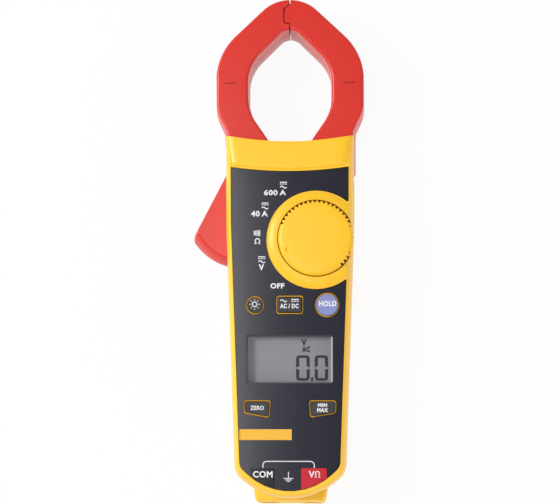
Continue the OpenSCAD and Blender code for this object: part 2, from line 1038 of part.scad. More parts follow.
module dial_rotor() {
    color([0.85, 0.85, 0.82])
    translate([dial_x, dial_y, board_top + 0.7])
        difference() {
            cylinder(h = inner_z - 0.8 - board_top - 0.72, r = 9.2);
            for (i = [0 : 13])
                rotate(i * 360 / 14)
                    translate([9.4, 0, -1])
                        cylinder(h = 10, r = 0.9);
        }
}

module dial_wipers() {
    color([0.85, 0.7, 0.35])
    for (i = [0 : 2])
        translate([dial_x, dial_y, board_top + 0.35])
            rotate(i * 120)
                translate([3.2, -0.9, 0])
                    cube([5, 1.8, 0.33]);
}

// Key cap with the flange that keeps it behind the case wall
module key() {
    translate([0, 0, board_top + 1.6])
        linear_extrude(height = key_z - board_top - 1.6)
            children(0);
    translate([0, 0, board_top + 1.6])
        linear_extrude(height = 1.7)
            children(1);
}

module light_button() {
    color([0.24, 0.24, 0.27])
    key() {
        light_plan(0);
        light_plan(0.8);
    }
}

module acdc_button() {
    color([0.24, 0.24, 0.27])
    key() {
        acdc_plan(0);
        acdc_plan(0.8);
    }
}

module hold_button() {
    color([0.52, 0.55, 0.78])
    key() {
        hold_plan(0);
        hold_plan(0.8);
    }
}

module zero_button() {
    color([0.24, 0.24, 0.27])
    key() {
        zero_plan(0);
        zero_plan(0.8);
    }
}

module minmax_button() {
    color([0.24, 0.24, 0.27])
    key() {
        minmax_plan(0);
        minmax_plan(0.8);
    }
}

front_case();
rear_case();
front_panel();
display_lens();
display_bezel();
lcd_glass();
backlight_plate();
zebra_strips();
circuit_board();
board_screws();
main_chip();
buzzer();
upper_keypad();
lower_keypad();
com_insulator();
volt_insulator();
com_socket();
volt_socket();
battery_tray();
battery_cells();
battery_springs();
battery_plates();
battery_door();
door_screw();
case_screws();
jaw_pins();
jaw_spring();
trigger_jaw_front();
trigger_jaw_rear();
trigger_jaw_core();
trigger_jaw_coil();
plain_jaw_front();
plain_jaw_rear();
plain_jaw_core();
plain_jaw_coil();
hall_sensor();
dial_knob();
dial_rotor();
dial_wipers();
light_button();
acdc_button();
hold_button();
zero_button();
minmax_button();
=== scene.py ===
import math

import bmesh
import bpy
from mathutils import Matrix, Vector


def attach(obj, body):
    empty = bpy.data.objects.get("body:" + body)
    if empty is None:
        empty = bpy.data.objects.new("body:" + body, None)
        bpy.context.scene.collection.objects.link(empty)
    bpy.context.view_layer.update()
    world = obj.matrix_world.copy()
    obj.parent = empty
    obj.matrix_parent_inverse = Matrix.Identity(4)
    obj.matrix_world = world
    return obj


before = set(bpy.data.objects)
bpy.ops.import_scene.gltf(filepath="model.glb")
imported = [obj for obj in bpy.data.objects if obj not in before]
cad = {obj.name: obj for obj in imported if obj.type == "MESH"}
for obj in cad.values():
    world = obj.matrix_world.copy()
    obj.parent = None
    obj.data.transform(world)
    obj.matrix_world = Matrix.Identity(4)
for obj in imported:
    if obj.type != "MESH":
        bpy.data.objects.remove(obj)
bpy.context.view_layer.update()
scene = bpy.context.scene
scene.view_settings.view_transform = "Standard"

# Studio: the meter lies on its back on a white table in a pale tent. A softbox lights it from
# the left, and a narrow strip light overhead draws the sheen along the left of the panel. The
# camera stands almost straight above, a little towards the jacks and to the right.


def point_at(thing, place, target):
    """Stands a camera or lamp at a place, square to the table's long side, facing a target."""
    thing.location = place
    thing.rotation_mode = "QUATERNION"
    ahead = (Vector(target) - Vector(place)).normalized()
    right = ahead.cross(Vector((0, 1, 0))).normalized()
    axes = Matrix((right, right.cross(ahead), -ahead)).transposed()
    thing.rotation_quaternion = axes.to_quaternion()
    scene.collection.objects.link(thing)


camera_stand = (0.0142, -0.0564, 0.6504)
camera_aim = (-0.0043, 0.0, 0.0334)
camera = bpy.data.objects.new("camera", bpy.data.cameras.new("camera"))
camera.data.sensor_width = 36
camera.data.lens = 90
camera.data.clip_start = 0.05
point_at(camera, camera_stand, camera_aim)
scene.camera = camera

table_half, table_z = 30, -0.0003
table_mesh = bmesh.new()
bmesh.ops.create_grid(
    table_mesh, x_segments=4, y_segments=4, size=table_half,
    matrix=Matrix.Translation((0, 0, table_z)),
)
table_data = bpy.data.meshes.new("table")
table_mesh.to_mesh(table_data)
table_mesh.free()
table = bpy.data.objects.new("table", table_data)
scene.collection.objects.link(table)
paper_white, white_share = 0.9, 0.93
table_white = bpy.data.materials.new("table_white")
table_white.use_nodes = True
table_white.cycles.emission_sampling = "NONE"
net = table_white.node_tree
net.nodes.clear()
surface = net.nodes.new("ShaderNodeOutputMaterial")
sheet = net.nodes.new("ShaderNodeBsdfDiffuse")
sheet.inputs["Color"].default_value = (paper_white, paper_white, paper_white, 1)
glow = net.nodes.new("ShaderNodeEmission")
glow.inputs["Strength"].default_value = 1
ray = net.nodes.new("ShaderNodeLightPath")
camera_or_gloss = net.nodes.new("ShaderNodeMath")
camera_or_gloss.operation = "MAXIMUM"
net.links.new(ray.outputs["Is Camera Ray"], camera_or_gloss.inputs[0])
net.links.new(ray.outputs["Is Glossy Ray"], camera_or_gloss.inputs[1])
or_through = net.nodes.new("ShaderNodeMath")
or_through.operation = "MAXIMUM"
net.links.new(camera_or_gloss.outputs[0], or_through.inputs[0])
net.links.new(ray.outputs["Is Transmission Ray"], or_through.inputs[1])
share = net.nodes.new("ShaderNodeMath")
share.operation = "MULTIPLY"
share.inputs[1].default_value = white_share
net.links.new(or_through.outputs[0], share.inputs[0])
mix = net.nodes.new("ShaderNodeMixShader")
net.links.new(share.outputs[0], mix.inputs["Fac"])
net.links.new(sheet.outputs[0], mix.inputs[1])
net.links.new(glow.outputs[0], mix.inputs[2])
net.links.new(mix.outputs[0], surface.inputs["Surface"])
table_data.materials.append(table_white)

wall_glow, roof_glow = 1.0, 0.12
tent = bpy.data.worlds.new("tent")
scene.world = tent
tent.use_nodes = True
cloth = tent.node_tree.nodes["Background"]
cloth.inputs["Color"].default_value = (1, 1, 1, 1)
facing = tent.node_tree.nodes.new("ShaderNodeTexCoord")
height = tent.node_tree.nodes.new("ShaderNodeSeparateXYZ")
tent.node_tree.links.new(facing.outputs["Generated"], height.inputs[0])
fall = tent.node_tree.nodes.new("ShaderNodeMapRange")
fall.inputs["To Min"].default_value = wall_glow
fall.inputs["To Max"].default_value = roof_glow
tent.node_tree.links.new(height.outputs["Z"], fall.inputs["Value"])
tent.node_tree.links.new(fall.outputs["Result"], cloth.inputs["Strength"])


def softbox(name, place, wide, long, power):
    """Rectangular lamp of the given sides and watts, facing the middle of the meter."""
    meter_middle = (0, 0, 0.02)
    lamp = bpy.data.lights.new(name, "AREA")
    lamp.shape = "RECTANGLE"
    lamp.size = wide
    lamp.size_y = long
    lamp.energy = power
    point_at(bpy.data.objects.new(name, lamp), place, meter_middle)


softbox("side_softbox", (-0.8, 0.2, 0.75), wide=0.35, long=0.35, power=7.6)
softbox("overhead_strip", (-0.142, -0.2, 1.03), wide=0.08, long=0.9, power=2.4)
softbox("fill_card", (0.7, -0.6, 0.3), wide=0.5, long=0.4, power=1.9)

# Rear case half: a deep tray with the jack foot at its lower end, injection moulded in yellow
# plastic with a fine spark texture. It carries the battery and the jacks, and is closed on to
# the front half with four screws from behind.
yellow = (1.0, 0.575, 0.02)
# Painted shade for the yellow parts: a deep brown-orange laid into narrow gaps, notches and
# recesses, where shade falls.
gap_shade_brown = (0.6, 0.1, 0.0)


def moulded(name, colour, tint, rough, grain=5200, depth=0.00001, shine=0.5, gap_shade=None):
    """Moulded plastic: fine spark texture, a faint flow mottle, and painted shade darkening its
    narrow gaps.
    """
    mottle_scale, gloss_spread = 70, 0.06
    gap_reach, gap_dark, gap_open = 0.002, 0.3, 0.5
    m = bpy.data.materials.new(name)
    m.use_nodes = True
    t = m.node_tree
    shader = t.nodes["Principled BSDF"]
    shader.inputs["Specular IOR Level"].default_value = shine
    where = t.nodes.new("ShaderNodeTexCoord")
    mottle = t.nodes.new("ShaderNodeTexNoise")
    mottle.inputs["Scale"].default_value = mottle_scale
    mottle.inputs["Detail"].default_value = 4
    t.links.new(where.outputs["Object"], mottle.inputs["Vector"])
    shade = t.nodes.new("ShaderNodeMix")
    shade.data_type = "RGBA"
    shade.inputs["A"].default_value = (*colour, 1)
    shade.inputs["B"].default_value = (*[c * k for c, k in zip(colour, tint)], 1)
    t.links.new(mottle.outputs["Fac"], shade.inputs["Factor"])
    t.links.new(shade.outputs["Result"], shader.inputs["Base Color"])
    # Painted shade: where ambient occlusion finds a narrow gap or recess, the base colour turns
    # towards the given gap colour.
    if gap_shade:
        gap = t.nodes.new("ShaderNodeAmbientOcclusion")
        gap.inputs["Distance"].default_value = gap_reach
        gap.samples = 8
        open_share = t.nodes.new("ShaderNodeMapRange")
        open_share.inputs["From Min"].default_value = gap_dark
        open_share.inputs["From Max"].default_value = gap_open
        t.links.new(gap.outputs["AO"], open_share.inputs["Value"])
        gap_shading = t.nodes.new("ShaderNodeMix")
        gap_shading.data_type = "RGBA"
        gap_shading.inputs["A"].default_value = (*gap_shade, 1)
        t.links.new(open_share.outputs["Result"], gap_shading.inputs["Factor"])
        t.links.new(shade.outputs["Result"], gap_shading.inputs["B"])
        t.links.new(gap_shading.outputs["Result"], shader.inputs["Base Color"])
    spark = t.nodes.new("ShaderNodeTexNoise")
    spark.inputs["Scale"].default_value = grain
    spark.inputs["Detail"].default_value = 3
    t.links.new(where.outputs["Object"], spark.inputs["Vector"])
    gloss = t.nodes.new("ShaderNodeMapRange")
    gloss.inputs["To Min"].default_value = rough - gloss_spread
    gloss.inputs["To Max"].default_value = rough + gloss_spread
    t.links.new(spark.outputs["Fac"], gloss.inputs["Value"])
    t.links.new(gloss.outputs["Result"], shader.inputs["Roughness"])
    bump = t.nodes.new("ShaderNodeBump")
    bump.inputs["Strength"].default_value = 0.3
    bump.inputs["Distance"].default_value = depth
    t.links.new(spark.outputs["Fac"], bump.inputs["Height"])
    t.links.new(bump.outputs["Normal"], shader.inputs["Normal"])
    return m


def shaping(name):
    """Empty geometry group with a solid going in and a solid coming out."""
    group = bpy.data.node_groups.new(name, "GeometryNodeTree")
    for way in ("INPUT", "OUTPUT"):
        group.interface.new_socket("Geometry", in_out=way, socket_type="NodeSocketGeometry")
    return group


sharp = math.radians(38)
polish = shaping("polish")
came_in = polish.nodes.new("NodeGroupInput")
bare = polish.nodes.new("GeometryNodeRemoveAttribute")
bare.inputs["Name"].default_value = "custom_normal"
rounds = polish.nodes.new("GeometryNodeSetShadeSmooth")
corner = polish.nodes.new("GeometryNodeInputMeshEdgeAngle")
crease = polish.nodes.new("ShaderNodeMath")
crease.operation = "LESS_THAN"
crease.inputs[1].default_value = sharp
polish.links.new(corner.outputs["Unsigned Angle"], crease.inputs[0])
creases = polish.nodes.new("GeometryNodeSetShadeSmooth")
creases.domain = "EDGE"
polish.links.new(crease.outputs[0], creases.inputs["Shade Smooth"])
gone_out = polish.nodes.new("NodeGroupOutput")
polish.links.new(came_in.outputs[0], bare.inputs[0])
polish.links.new(bare.outputs[0], rounds.inputs[0])
polish.links.new(rounds.outputs[0], creases.inputs[0])
polish.links.new(creases.outputs[0], gone_out.inputs[0])


def finish(node, material, edge=0.0, clamp=True):
    """Gives a solid its material, smooths its rounds and breaks its sharp edges by edge metres."""
    weld_gap = 0.000008
    o = cad[node]
    o.data.materials.clear()
    o.data.materials.append(material)
    if edge:
        weld = o.modifiers.new("weld", "WELD")
        weld.merge_threshold = weld_gap
        rub = o.modifiers.new("rub", "NODES")
        rub.node_group = polish
        ease = o.modifiers.new("ease", "BEVEL")
        ease.width = edge
        ease.segments = 2
        ease.limit_method = "ANGLE"
        ease.angle_limit = sharp
        ease.use_clamp_overlap = clamp
        even = o.modifiers.new("even", "WEIGHTED_NORMAL")
        even.keep_sharp = True


# The yellow plastic carries painted shade in its narrow gaps, such as the notches round the dial
# and the collars.
case_yellow = moulded("case_yellow", yellow, (0.99, 0.96, 0.9), rough=0.37, gap_shade=gap_shade_brown)
finish("rear_case", case_yellow, edge=0.0003)

# Battery compartment: a black moulded tray behind a yellow door, which one screw holds. Three
# small cells in printed sleeves lie side by side between the plated springs and plates at the
# ends of the tray.
tray_black = moulded("tray_black", (0.018, 0.018, 0.02), (1.2, 1.2, 1.2), rough=0.5)
finish("battery_tray", tray_black)
finish("battery_door", case_yellow, edge=0.0002)
cell_low, cell_high = -0.0823, -0.0362
bare_steel, sleeve_black = (0.6, 0.6, 0.62, 1), (0.03, 0.03, 0.034, 1)
sleeve_copper = (0.62, 0.36, 0.1, 1)
black_from, copper_from, steel_from = 0.045, 0.68, 0.955
sleeve = moulded("cell_sleeve", sleeve_black[:3], (0.8, 0.8, 0.8), rough=0.3)
net = sleeve.node_tree
along = net.nodes.new("ShaderNodeSeparateXYZ")
net.links.new(net.nodes["Texture Coordinate"].outputs["Object"], along.inputs[0])
spread = net.nodes.new("ShaderNodeMapRange")
spread.inputs["From Min"].default_value = cell_low
spread.inputs["From Max"].default_value = cell_high
net.links.new(along.outputs["Y"], spread.inputs["Value"])
zones = net.nodes.new("ShaderNodeValToRGB")
zones.color_ramp.interpolation = "CONSTANT"
zones.color_ramp.elements[0].color = bare_steel
zones.color_ramp.elements[1].position = black_from
zones.color_ramp.elements[1].color = sleeve_black
for place, tone in ((copper_from, sleeve_copper), (steel_from, bare_steel)):
    zone = zones.color_ramp.elements.new(place)
    zone.color = tone
net.links.new(spread.outputs["Result"], zones.inputs["Fac"])
net.links.new(zones.outputs["Color"], net.nodes["Mix"].inputs["A"])
finish("battery_cells", sleeve)


def turned_metal(name, colour, rough):
    """Plated or turned metal: fine drawing lines in tone and gloss."""
    line_scale, gloss_spread, line_tone = 1500, 0.1, 0.82
    m = bpy.data.materials.new(name)
    m.use_nodes = True
    t = m.node_tree
    shader = t.nodes["Principled BSDF"]
    shader.inputs["Metallic"].default_value = 1
    where = t.nodes.new("ShaderNodeTexCoord")
    lines = t.nodes.new("ShaderNodeTexNoise")
    lines.inputs["Scale"].default_value = line_scale
    lines.inputs["Detail"].default_value = 5
    t.links.new(where.outputs["Object"], lines.inputs["Vector"])
    gloss = t.nodes.new("ShaderNodeMapRange")
    gloss.inputs["To Min"].default_value = rough - gloss_spread
    gloss.inputs["To Max"].default_value = rough + gloss_spread
    t.links.new(lines.outputs["Fac"], gloss.inputs["Value"])
    t.links.new(gloss.outputs["Result"], shader.inputs["Roughness"])
    tone = t.nodes.new("ShaderNodeMix")
    tone.data_type = "RGBA"
    tone.inputs["A"].default_value = (*colour, 1)
    tone.inputs["B"].default_value = (*[c * line_tone for c in colour], 1)
    t.links.new(lines.outputs["Fac"], tone.inputs["Factor"])
    t.links.new(tone.outputs["Result"], shader.inputs["Base Color"])
    return m


plated = turned_metal("plated_steel", (0.62, 0.62, 0.64), rough=0.32)
for n in ("battery_springs", "battery_plates", "door_screw"):
    finish(n, plated)

# Input jacks: two moulded insulating tubes, black and red, pressed into the foot. Each holds a
# socket turned from brass, for a 4 mm plug.
brass = turned_metal("socket_brass", (0.7, 0.5, 0.2), rough=0.28)
jack_black = moulded("jack_black", (0.015, 0.015, 0.017), (1.2, 1.2, 1.2), rough=0.45)
jack_red = moulded("jack_red", (0.5, 0.02, 0.025), (0.9, 0.9, 0.9), rough=0.45)
finish("com_insulator", jack_black)
finish("volt_insulator", jack_red)
finish("com_socket", brass)
finish("volt_socket", brass)

# Circuit board: glass-fibre laminate under green solder mask, with its tracks showing through.
# It carries the main chip and the buzzer, and four plated screws hold it to posts of the front
# case half.
board_green, board_light = (0.02, 0.16, 0.06), (0.025, 0.18, 0.07)
track_green = (0.06, 0.3, 0.1)
mask_green = moulded("solder_mask", board_green, (0.7, 0.8, 0.7), rough=0.3, grain=900)
net = mask_green.node_tree
tracks = net.nodes.new("ShaderNodeTexBrick")
tracks.inputs["Scale"].default_value = 90
tracks.inputs["Mortar Size"].default_value = 0.06
tracks.inputs["Color1"].default_value = (*board_green, 1)
tracks.inputs["Color2"].default_value = (*board_light, 1)
tracks.inputs["Mortar"].default_value = (*track_green, 1)
net.links.new(net.nodes["Texture Coordinate"].outputs["Object"], tracks.inputs["Vector"])
net.links.new(tracks.outputs["Color"], net.nodes["Mix"].inputs["A"])
finish("circuit_board", mask_green)
finish("main_chip", tray_black)
finish("buzzer", tray_black)
finish("board_screws", plated)

# Keypad sheets: two thin sheets of grey silicone rubber, one under each row of keys. They lie
# loose on the board, and a pressed key pushes them on to its contacts.
silicone = moulded("silicone", (0.25, 0.25, 0.27), (0.9, 0.9, 0.9), rough=0.7)
finish("upper_keypad", silicone)
finish("lower_keypad", silicone)

# Sensing parts of the jaws: cores stacked from stamped steel sheets, windings of enamelled
# copper wire slipped over them, and a small field sensor at the root of the right core.


def layered(material, axis, pitch, groove):
    """Marks a material with fine layers along an axis, in tone and relief."""
    pitch_at_scale_one, seam_from = 0.314, 0.8
    t = material.node_tree
    shader = t.nodes["Principled BSDF"]
    layers = t.nodes.new("ShaderNodeTexWave")
    layers.bands_direction = axis
    layers.inputs["Scale"].default_value = pitch_at_scale_one / pitch
    t.links.new(t.nodes["Texture Coordinate"].outputs["Object"], layers.inputs["Vector"])
    plain = shader.inputs["Base Color"].links[0].from_socket
    lines = t.nodes.new("ShaderNodeMix")
    lines.data_type = "RGBA"
    lines.inputs["B"].default_value = (*groove, 1)
    depth = t.nodes.new("ShaderNodeMath")
    depth.operation = "GREATER_THAN"
    depth.inputs[1].default_value = seam_from
    t.links.new(layers.outputs["Fac"], depth.inputs[0])
    t.links.new(depth.outputs[0], lines.inputs["Factor"])
    t.links.new(plain, lines.inputs["A"])
    t.links.new(lines.outputs["Result"], shader.inputs["Base Color"])
    relief = t.nodes.new("ShaderNodeBump")
    relief.inputs["Strength"].default_value = 0.4
    relief.inputs["Distance"].default_value = pitch / 4
    relief.invert = True
    t.links.new(layers.outputs["Fac"], relief.inputs["Height"])
    t.links.new(relief.outputs["Normal"], shader.inputs["Normal"])


laminated = turned_metal("laminated_core", (0.35, 0.35, 0.37), rough=0.4)
layered(laminated, "Z", pitch=0.0005, groove=(0.05, 0.05, 0.055))
copper = turned_metal("enamelled_copper", (0.55, 0.24, 0.09), rough=0.35)
layered(copper, "Y", pitch=0.0004, groove=(0.16, 0.06, 0.02))
for n in ("trigger_jaw_core", "plain_jaw_core"):
    finish(n, laminated)
for n in ("trigger_jaw_coil", "plain_jaw_coil"):
    finish(n, copper)
finish("hall_sensor", tray_black)

# Jaw shells: front and rear halves injection moulded in red plastic and welded together round the
# cores, with the finger lever in one piece with the left pair. The tips interlock, and the long
# edges of the arms are rounded.
# Painted shade for the red jaws: a dark red laid into narrow gaps, the seam and the line between
# the tips, where shade falls.
gap_shade_red = (0.6, 0.004, 0.002)
jaw_red = moulded("jaw_red", (0.7, 0.033, 0.021), (0.97, 0.9, 0.9), rough=0.3, gap_shade=gap_shade_red)


def pick_edges(node, every, either=()):
    """Marks the sharp edges of a solid that meet every rule, and one of either, for a bevel."""
    group = shaping(node + "_edges")
    bend = group.nodes.new("GeometryNodeInputMeshEdgeAngle")
    place = group.nodes.new("GeometryNodeInputPosition")
    axes = group.nodes.new("ShaderNodeSeparateXYZ")
    group.links.new(place.outputs[0], axes.inputs[0])

    def weigh(rule, first, second):
        step = group.nodes.new("ShaderNodeMath")
        step.operation = rule
        for side, given in zip(step.inputs, (first, second)):
            if isinstance(given, float):
                side.default_value = given
            else:
                group.links.new(given, side)
        return step.outputs[0]

    chosen = weigh("GREATER_THAN", bend.outputs["Unsigned Angle"], sharp)
    for axis, rule, value in every:
        chosen = weigh("MULTIPLY", chosen, weigh(rule, axes.outputs[axis], value))
    if either:
        first, second = (weigh(rule, axes.outputs[axis], value) for axis, rule, value in either)
        chosen = weigh("MULTIPLY", chosen, weigh("MAXIMUM", first, second))
    solid_in = group.nodes.new("NodeGroupInput")
    mark = group.nodes.new("GeometryNodeStoreNamedAttribute")
    mark.domain = "EDGE"
    mark.data_type = "FLOAT"
    mark.inputs["Name"].default_value = "bevel_weight_edge"
    group.links.new(chosen, mark.inputs["Value"])
    solid_out = group.nodes.new("NodeGroupOutput")
    group.links.new(solid_in.outputs[0], mark.inputs["Geometry"])
    group.links.new(mark.outputs[0], solid_out.inputs[0])
    pick = cad[node].modifiers.new("pick", "NODES")
    pick.node_group = group
    cad[node].modifiers.move(len(cad[node].modifiers) - 1, 2)


over, under = "GREATER_THAN", "LESS_THAN"
arm_low, mark_end, mark_floor = 0.062, 0.085, 0.0264
past_tip, below_tongue = 0.2, 0.1
for n, top in (
    ("trigger_jaw_front", past_tip), ("trigger_jaw_rear", past_tip),
    ("plain_jaw_front", below_tongue), ("plain_jaw_rear", below_tongue),
):
    finish(n, jaw_red, edge=0.0004, clamp=False)
    # The grooves of the centring marks and the stepped tongue keep their sharp edges.
    pick_edges(
        n, (("Y", over, arm_low), ("Y", under, top)),
        (("Z", under, mark_floor), ("Y", over, mark_end)),
    )
    cad[n].modifiers["ease"].limit_method = "WEIGHT"

# Centring marks: a short line on each jaw arm, which shows where the conductor should lie. It is
# dark red paint on the floor of a moulded groove.


def bar(art, x, y, width, height):
    """Straight stroke of a print, centred at x, y, in millimetres."""
    place = Matrix.Translation((x, y, 0)) @ Matrix.Diagonal((width, height, 1, 1))
    bmesh.ops.create_grid(art, x_segments=1, y_segments=1, size=0.5, matrix=place)


def printed(name, art, height, film, material, body):
    """Lays a drawn print on the surface at the given height, as a film of its own."""
    joined, sunk, mm = 0.001, 0.01, 0.001
    bmesh.ops.remove_doubles(art, verts=art.verts, dist=joined)
    for f in art.faces:
        f.normal_update()
    bmesh.ops.reverse_faces(art, faces=[f for f in art.faces if f.normal.z < 0])
    bmesh.ops.translate(art, vec=(0, 0, height - sunk), verts=art.verts)
    bmesh.ops.scale(art, vec=(mm, mm, mm), verts=art.verts)
    data = bpy.data.meshes.new(name)
    art.to_mesh(data)
    art.free()
    data.materials.append(material)
    piece = bpy.data.objects.new(name, data)
    scene.collection.objects.link(piece)
    thickness = piece.modifiers.new("film", "SOLIDIFY")
    thickness.thickness = film * mm
    thickness.offset = 1
    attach(piece, body)


mark_x, mark_y, mark_long, mark_wide = 26.9, 77.4, 5.1, 0.42
groove_floor, mark_film = 26.71, 0.16
mark_ink = moulded("mark_ink", (0.3, 0.016, 0.013), (0.9, 0.9, 0.9), rough=0.5)
for body, x in (("trigger_jaw", -mark_x), ("plain_jaw", mark_x)):
    mark = bmesh.new()
    bar(mark, x, mark_y, mark_long, mark_wide)
    printed(body + "_mark", mark, groove_floor, mark_film, mark_ink, body)

# Jaw pins and spring: two plated steel pins, held in bosses of both case halves, on which the jaws
# turn. A torsion spring wound from steel wire sits round the left one and closes the jaws.
finish("jaw_pins", plated)
finish("jaw_spring", plated)

# Front case half: yellow moulded plastic, with the ring round the dial and rounded collars round
# the keys moulded on. Four plated screws from behind pull the two halves together.
finish("front_case", case_yellow, edge=0.0003)
finish("case_screws", plated)
collars_x, collars_low, collars_high = 0.023, -0.076, -0.0165
below_rim, above_rim = 0.0329, 0.0332
# The rims of the collars get a rounding of their own, ahead of the plain edge break.
pick_edges("front_case", (
    ("X", over, -collars_x), ("X", under, collars_x),
    ("Y", over, collars_low), ("Y", under, collars_high),
    ("Z", over, below_rim), ("Z", under, above_rim),
))
collar_ease = cad["front_case"].modifiers.new("collar_ease", "BEVEL")
collar_ease.width = 0.00017
collar_ease.segments = 3
collar_ease.limit_method = "WEIGHT"
collar_ease.use_clamp_overlap = False
cad["front_case"].modifiers.move(len(cad["front_case"].modifiers) - 1, 3)

# Display: a grey liquid crystal glass over a milky light plate. Two strips of layered rubber join
# it to the board, and a moulded grey bezel frames it.
milky = moulded("milky_plate", (0.8, 0.8, 0.75), (0.95, 0.95, 0.95), rough=0.35)
finish("backlight_plate", milky)
strip_rubber = moulded("strip_rubber", (0.45, 0.24, 0.28), (0.9, 0.9, 0.9), rough=0.7, grain=1200)
layered(strip_rubber, "X", pitch=0.0005, groove=(0.02, 0.02, 0.02))
finish("zebra_strips", strip_rubber)
lcd_grey = moulded(
    "lcd_grey", (0.37, 0.375, 0.395), (0.96, 0.96, 0.96), rough=0.3, grain=3000, depth=0.000003,
    shine=0.1,
)
finish("lcd_glass", lcd_grey)
bezel_grey = moulded("bezel_grey", (0.36, 0.36, 0.37), (0.95, 0.95, 0.95), rough=0.45)
finish("display_bezel", bezel_grey)

# Display lens: a clear moulded plate with a hard coat, set into the window of the panel. Its left,
# top and bottom edges carry a dark film of painted shade, and a pale strip down the right is a
# painted highlight of its lit edge.
smoke, lens_haze = (0.03, 0.03, 0.035, 1), 0.08
clear = bpy.data.materials.new("clear_lens")
clear.use_nodes = True
net = clear.node_tree
lens = net.nodes["Principled BSDF"]
lens.inputs["Base Color"].default_value = smoke
lens.inputs["Alpha"].default_value = lens_haze
hard_coat = net.nodes.new("ShaderNodeTexNoise")
hard_coat.inputs["Scale"].default_value = 400
on_lens = net.nodes.new("ShaderNodeTexCoord")
net.links.new(on_lens.outputs["Object"], hard_coat.inputs["Vector"])
wear = net.nodes.new("ShaderNodeMapRange")
wear.inputs["To Min"].default_value = 0.03
wear.inputs["To Max"].default_value = 0.08
net.links.new(hard_coat.outputs["Fac"], wear.inputs["Value"])
net.links.new(wear.outputs["Result"], lens.inputs["Roughness"])
finish("display_lens", clear)

lens_top, lens_y = 33.1, -47.3
lens_wide, lens_high, lens_corner = 37.8, 21.2, 1.1
shade_left, shade_low, shade_high = -18.65, -57.6, -37.5
shade_film, highlight_film = 0.03, 0.04
# Painted shade: a dark film over the left, top and bottom edges of the lens, where the panel's edge
# shades the window.
shade_border = bmesh.new()
bar(shade_border, 0, lens_y, lens_wide, lens_high)
bmesh.ops.bevel(
    shade_border, geom=shade_border.verts[:], offset=lens_corner, affect="VERTICES", segments=6, profile=0.5,
    material=-1,
)
for at, out in (
    ((shade_left, 0, 0), (1, 0, 0)), ((0, shade_low, 0), (0, 1, 0)), ((0, shade_high, 0), (0, 1, 0)),
):
    bmesh.ops.bisect_plane(
        shade_border, geom=shade_border.verts[:] + shade_border.edges[:] + shade_border.faces[:], plane_co=at, plane_no=out,
    )
opening = [
    f for f in shade_border.faces
    if f.calc_center_median().x > shade_left and shade_low < f.calc_center_median().y < shade_high
]
bmesh.ops.delete(shade_border, geom=opening, context="FACES")
painted_lens_shade = moulded("painted_lens_shade", (0.022, 0.022, 0.026), (1.1, 1.1, 1.1), rough=0.4)
printed("lens_edge_shade", shade_border, lens_top, shade_film, painted_lens_shade, "case")
# Painted highlight: a pale strip down the right edge of the lens, standing in for the lit edge of
# the clear plate.
highlight_x, highlight_wide, highlight_high = 18.5, 0.7, 19.6
highlight_art = bmesh.new()
bar(highlight_art, highlight_x, lens_y, highlight_wide, highlight_high)
painted_edge_highlight = moulded("painted_edge_highlight", (0.45, 0.45, 0.46), (0.95, 0.95, 0.95), rough=0.35)
printed("lens_edge_highlight", highlight_art, lens_top, highlight_film, painted_edge_highlight, "case")

# Display figures: the dark segments that stand in the liquid crystal of the glass, a thin film at
# its top face. They show a reading of zero volts, alternating.


def words(art, text, x, y, width, height, weight=0.043, gap=1.0):
    """Lettering fitted to a width and height at x, y; weight thickens it, gap spaces words."""
    joined, spacing, blunt, deep = 0.01, 2.5, 0.8, 0.05
    font = bpy.data.curves.new("lettering", "FONT")
    font.body = text
    font.space_character = 1 + spacing * weight
    font.space_word = gap
    font.resolution_u = 3
    holder = bpy.data.objects.new("lettering", font)
    outline = bpy.data.meshes.new_from_object(holder)
    letters = bmesh.new()
    letters.from_mesh(outline)
    bmesh.ops.remove_doubles(letters, verts=letters.verts, dist=joined)
    bmesh.ops.reverse_faces(letters, faces=[f for f in letters.faces if f.normal.z < 0])
    comes, leaves = {}, {}
    for edge in letters.edges:
        if edge.is_boundary:
            loop = edge.link_loops[0]
            way = (loop.link_loop_next.vert.co - loop.vert.co).normalized()
            leaves[loop.vert] = comes[loop.link_loop_next.vert] = way
    # Each corner moves out along its mitre, less far where the outline turns outwards.
    for v, there in leaves.items():
        here = comes[v]
        lean = Vector((here.y + there.y, -here.x - there.x, 0)) * weight * 2
        limit = blunt if here.cross(there).z > 0 else deep
        v.co += lean / max((here + there).length_squared, limit)
    bmesh.ops.delete(letters, geom=letters.faces[:], context="FACES_KEEP_BOUNDARY")
    bmesh.ops.triangle_fill(
        letters, edges=letters.edges[:], use_beauty=True, use_dissolve=False, normal=(0, 0, 1),
    )
    low = [min(v.co[i] for v in letters.verts) for i in (0, 1)]
    high = [max(v.co[i] for v in letters.verts) for i in (0, 1)]
    middle = (-(low[0] + high[0]) / 2, -(low[1] + high[1]) / 2, 0)
    bmesh.ops.translate(letters, vec=middle, verts=letters.verts)
    fit = (width / (high[0] - low[0]), height / (high[1] - low[1]), 1)
    bmesh.ops.scale(letters, vec=fit, verts=letters.verts)
    bmesh.ops.translate(letters, vec=(x, y, 0), verts=letters.verts)
    letters.to_mesh(outline)
    letters.free()
    art.from_mesh(outline)
    bpy.data.objects.remove(holder)
    bpy.data.curves.remove(font)
    bpy.data.meshes.remove(outline)


